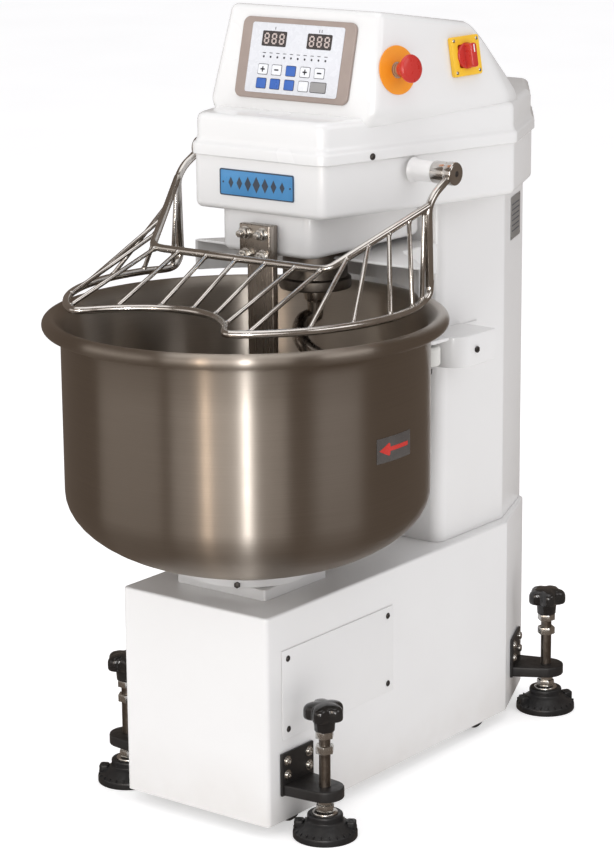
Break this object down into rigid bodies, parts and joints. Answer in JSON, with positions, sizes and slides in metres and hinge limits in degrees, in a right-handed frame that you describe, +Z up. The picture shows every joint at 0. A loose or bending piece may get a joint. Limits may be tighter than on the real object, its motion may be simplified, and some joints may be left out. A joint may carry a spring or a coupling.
{
  "type": "spiral dough mixer",
  "caption": "Bakery spiral mixer: deep steel bowl on a turntable, spiral tool and breaker bar under a tapered head, lifting wire guard, console with keypad and levelling feet.",
  "frame": {"origin": "centre of the footprint on the floor", "axes": "+Z up, -Y towards the operator at the front, +X to the right seen from the front"},
  "size_m": [0.6218, 0.9999, 1.2323],
  "materials": {
    "white_paint": "gloss white paint",
    "cover_white": "gloss white moulded cover",
    "bowl_steel": "brushed stainless steel",
    "tool_steel": "satin stainless steel",
    "guard_steel": "polished stainless wire",
    "dark_steel": "blackened steel",
    "cast_iron": "cast iron",
    "belt_rubber": "matte",
    "black_plastic": "matte",
    "foot_black": "matte black",
    "beige_plastic": "satin",
    "keypad_film": "printed film",
    "blue_plate": "gloss",
    "grey_plate": "satin",
    "yellow_plastic": "satin",
    "red_plastic": "gloss",
    "nylon": "matte",
    "board_green": "matte",
    "motor_blue": "satin paint"
  },
  "bodies": {
    "frame": {"base_frame": "white_paint", "bowl_bearing": "cast_iron", "bowl_belt": "belt_rubber", "bowl_motor": "motor_blue", "bowl_shield": "cover_white", "breaker_bar": "tool_steel", "breaker_clamp": "tool_steel", "cable_gland": "black_plastic", "column_shell": "white_paint", "control_board": "board_green", "electrical_box": "grey_plate", "estop_block": "black_plastic", "estop_ring": "yellow_plastic", "foot_bracket_front_left": "dark_steel", "foot_bracket_front_right": "dark_steel", "foot_bracket_rear_left": "dark_steel", "foot_bracket_rear_right": "dark_steel", "guard_boss_left": "guard_steel", "guard_boss_right": "guard_steel", "head_body": "white_paint", "head_cover": "cover_white", "head_neck": "white_paint", "nameplate": "blue_plate", "panel_bezel": "beige_plastic", "panel_keypad": "keypad_film", "rating_plate": "grey_plate", "rear_cover": "white_paint", "roller_bracket_left": "white_paint", "roller_bracket_right": "white_paint", "side_panel": "white_paint", "spiral_bearing": "dark_steel", "spiral_belt": "belt_rubber", "spiral_motor": "motor_blue", "switch_body": "black_plastic", "switch_plate": "yellow_plastic", "turntable_plinth": "white_paint", "wheel_axle_front": "dark_steel", "wheel_axle_rear": "dark_steel"},
    "bowl": {"bowl": "bowl_steel", "turntable": "white_paint", "bowl_shaft": "dark_steel", "bowl_pulley": "cast_iron"},
    "spiral": {"spiral_hook": "tool_steel", "spiral_pulley": "cast_iron"},
    "guard": {"guard": "guard_steel"},
    "estop_button": {"estop_button": "red_plastic"},
    "switch_knob": {"switch_knob": "red_plastic"},
    "bowl_motor_pulley": {"bowl_motor_pulley": "cast_iron"},
    "spiral_motor_pulley": {"spiral_motor_pulley": "cast_iron"},
    "guide_roller_left": {"guide_roller_left": "nylon"},
    "guide_roller_right": {"guide_roller_right": "nylon"},
    "foot_front_right": {"foot_front_right": "foot_black"},
    "wheel_front_right": {"wheel_front_right": "black_plastic"},
    "foot_front_left": {"foot_front_left": "foot_black"},
    "wheel_front_left": {"wheel_front_left": "black_plastic"},
    "foot_rear_right": {"foot_rear_right": "foot_black"},
    "wheel_rear_right": {"wheel_rear_right": "black_plastic"},
    "foot_rear_left": {"foot_rear_left": "foot_black"},
    "wheel_rear_left": {"wheel_rear_left": "black_plastic"}
  },
  "joints": [
    {"name": "bowl_spin", "type": "hinge", "parent": "frame", "child": "bowl", "pos_m": [0, -0.189, 0.4], "axis": [0, 0, 1], "continuous": true},
    {"name": "bowl_motor_spin", "type": "hinge", "parent": "frame", "child": "bowl_motor_pulley", "pos_m": [0, 0.141, 0.144], "axis": [0, 0, 1], "continuous": true},
    {"name": "spiral_spin", "type": "hinge", "parent": "frame", "child": "spiral", "pos_m": [0, -0.013, 0.8], "axis": [0, 0, 1], "continuous": true},
    {"name": "spiral_motor_spin", "type": "hinge", "parent": "frame", "child": "spiral_motor_pulley", "pos_m": [0, 0.331, 0.976], "axis": [0, 0, 1], "continuous": true},
    {"name": "guard_lift", "type": "hinge", "parent": "frame", "child": "guard", "pos_m": [0, 0.009, 0.991], "axis": [-1, 0, 0], "range_deg": [0, 75]},
    {"name": "estop_press", "type": "slide", "parent": "frame", "child": "estop_button", "axis": [-0.9709, 0.1845, -0.1524], "range_m": [0, 0.005], "stiffness_N_per_m": 1500},
    {"name": "switch_turn", "type": "hinge", "parent": "frame", "child": "switch_knob", "pos_m": [0.18592, 0.124, 1.1535], "axis": [0.9709, -0.1845, 0.1524], "range_deg": [0, 90]},
    {"name": "guide_roller_left_spin", "type": "hinge", "parent": "frame", "child": "guide_roller_left", "pos_m": [-0.15662, 0.07166, 0.687], "axis": [0, 0, 1], "continuous": true},
    {"name": "guide_roller_right_spin", "type": "hinge", "parent": "frame", "child": "guide_roller_right", "pos_m": [0.15662, 0.07166, 0.687], "axis": [0, 0, 1], "continuous": true},
    {"name": "foot_front_right_level", "type": "slide", "parent": "frame", "child": "foot_front_right", "axis": [0, 0, 1], "range_m": [-0.02, 0]},
    {"name": "foot_front_left_level", "type": "slide", "parent": "frame", "child": "foot_front_left", "axis": [0, 0, 1], "range_m": [-0.02, 0]},
    {"name": "foot_rear_right_level", "type": "slide", "parent": "frame", "child": "foot_rear_right", "axis": [0, 0, 1], "range_m": [-0.02, 0]},
    {"name": "foot_rear_left_level", "type": "slide", "parent": "frame", "child": "foot_rear_left", "axis": [0, 0, 1], "range_m": [-0.02, 0]},
    {"name": "wheel_front_right_roll", "type": "hinge", "parent": "frame", "child": "wheel_front_right", "pos_m": [0.1172, -0.249, 0.0315], "axis": [1, 0, 0], "continuous": true},
    {"name": "wheel_front_left_roll", "type": "hinge", "parent": "frame", "child": "wheel_front_left", "pos_m": [-0.1172, -0.249, 0.0315], "axis": [1, 0, 0], "continuous": true},
    {"name": "wheel_rear_right_roll", "type": "hinge", "parent": "frame", "child": "wheel_rear_right", "pos_m": [0.1172, 0.263, 0.0315], "axis": [1, 0, 0], "continuous": true},
    {"name": "wheel_rear_left_roll", "type": "hinge", "parent": "frame", "child": "wheel_rear_left", "pos_m": [-0.1172, 0.263, 0.0315], "axis": [1, 0, 0], "continuous": true}
  ],
  "couplings": [
    {"joint": "bowl_motor_spin", "follows": "bowl_spin", "ratio": 3},
    {"joint": "spiral_motor_spin", "follows": "spiral_spin", "ratio": 2.25},
    {"joint": "guide_roller_left_spin", "follows": "bowl_spin", "ratio": -14.175},
    {"joint": "guide_roller_right_spin", "follows": "bowl_spin", "ratio": -14.175}
  ]
}
